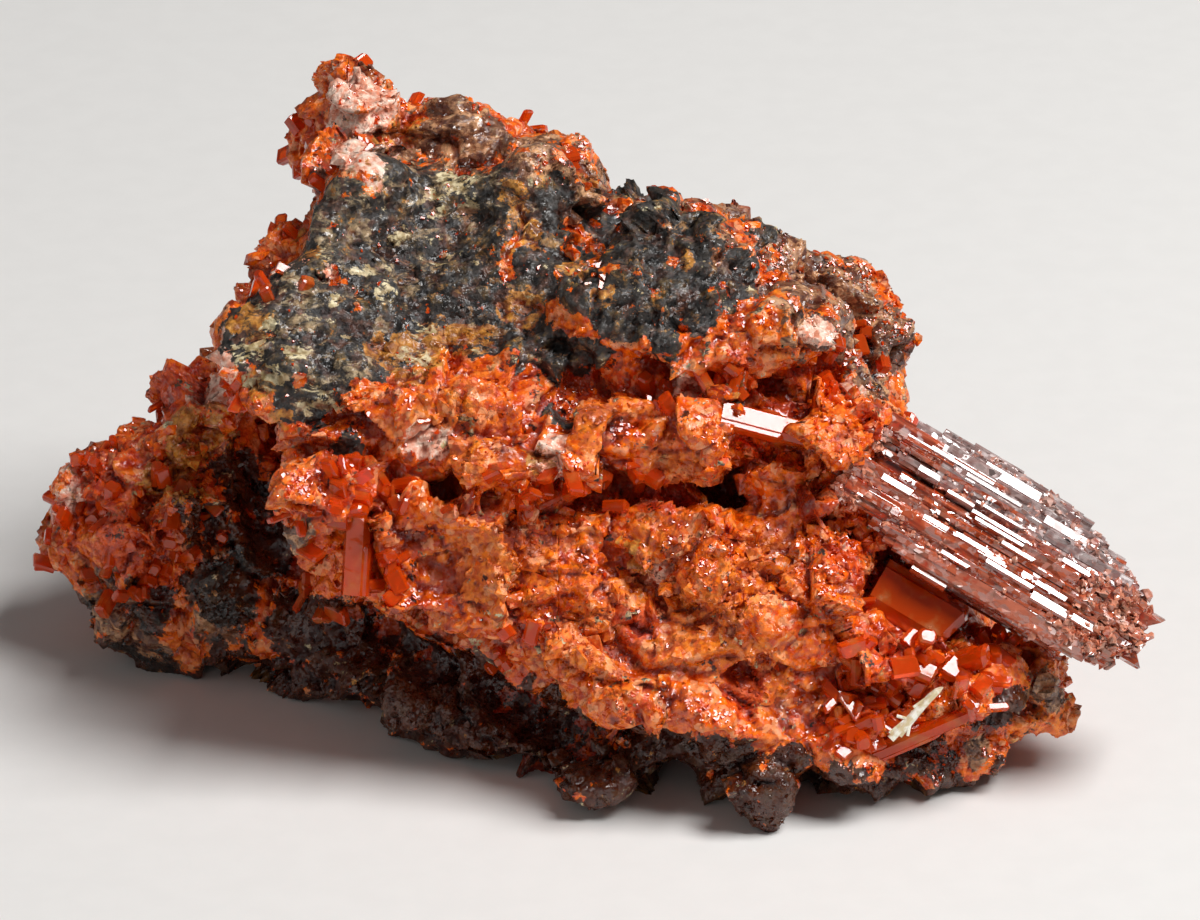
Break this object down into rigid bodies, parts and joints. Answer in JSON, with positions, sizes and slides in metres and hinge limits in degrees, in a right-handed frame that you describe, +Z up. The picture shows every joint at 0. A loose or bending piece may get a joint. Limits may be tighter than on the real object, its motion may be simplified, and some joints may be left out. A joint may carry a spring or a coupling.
{
  "type": "crocoite crystal specimen on matrix",
  "caption": "Loose mineral specimen: bright orange crocoite on rough limonite matrix with a black manganese oxide cap and a striated crystal bundle jutting from its right side.",
  "frame": {"origin": "on the surface the specimen rests on, under the centre of its bounding box", "axes": "+X to the picture's right along the longest extent, +Y away from the picture's viewer, +Z up"},
  "size_m": [0.0344, 0.0202, 0.018],
  "materials": {
    "matrix_rock": "rough and granular, part orange, part black",
    "striated_crocoite": "striated, adamantine, with mirror-bright strips",
    "clear_crocoite": "smooth, adamantine, deep orange red, translucent",
    "pale_crystal": "smooth and silky, cream"
  },
  "bodies": {
    "root": {"matrix": "matrix_rock", "striated_bundle": "striated_crocoite", "blade_crystal": "clear_crocoite", "gem_prism": "clear_crocoite", "pocket_prism": "clear_crocoite", "cross_prism": "clear_crocoite", "edge_prism": "clear_crocoite", "tabular_crystal": "clear_crocoite", "peak_crystal": "clear_crocoite", "pale_needle": "pale_crystal"}
  },
  "joints": []
}
